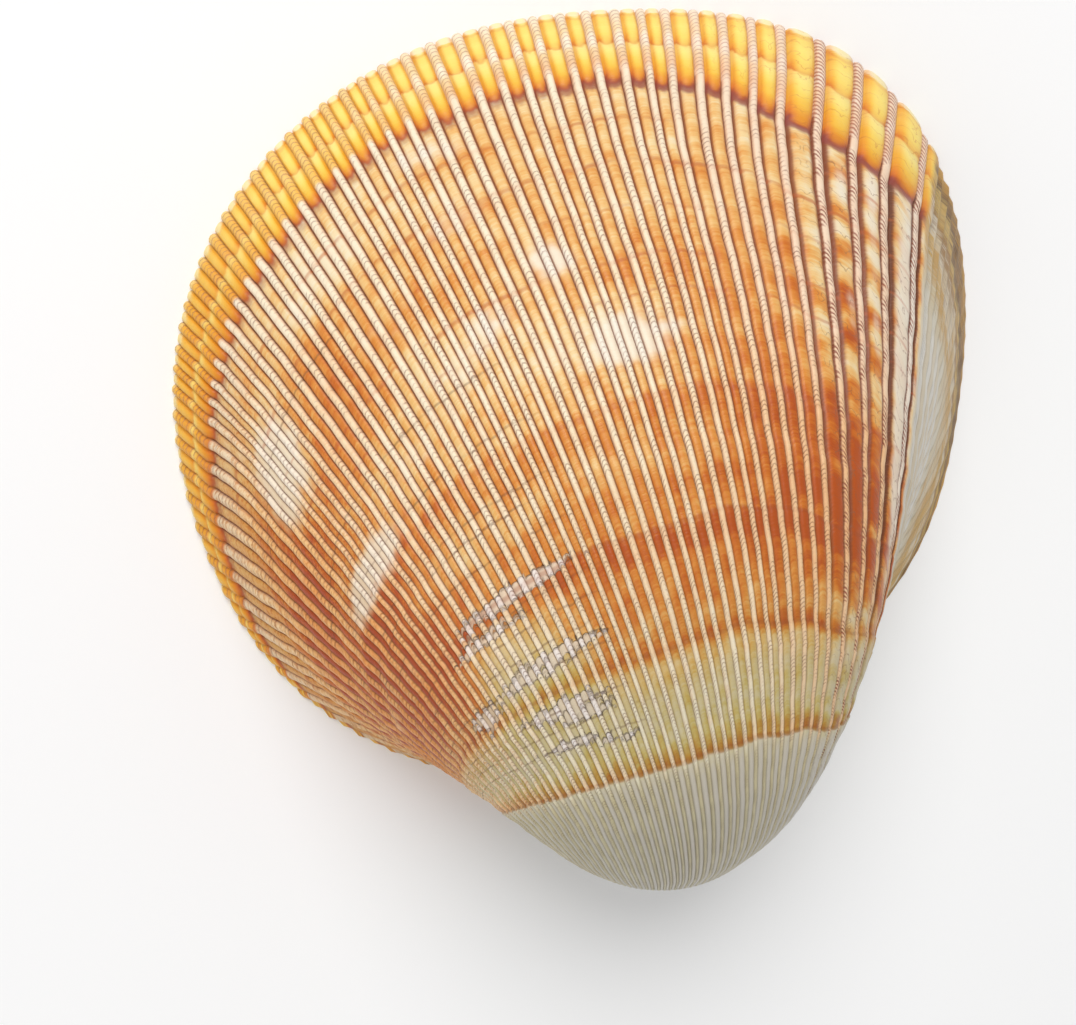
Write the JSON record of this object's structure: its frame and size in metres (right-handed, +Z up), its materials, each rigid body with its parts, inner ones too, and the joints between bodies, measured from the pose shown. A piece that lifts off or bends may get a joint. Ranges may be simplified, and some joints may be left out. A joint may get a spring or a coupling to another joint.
{
  "type": "cockle shell valve",
  "caption": "One valve of a large ribbed cockle shell, a deep dome with a curled beak, lying on its rim with the hollow side down.",
  "frame": {"origin": "centre of the bounding box in X and Y, on the plane of the rim in Z", "axes": "+X to the long end of the valve, +Y from the free margin to the beak, +Z up to the top of the dome"},
  "size_m": [0.1236, 0.129, 0.0521],
  "materials": {
    "shell": "natural shell, amber and cream, soft gloss"
  },
  "bodies": {
    "root": {"valve": "shell"}
  },
  "joints": []
}
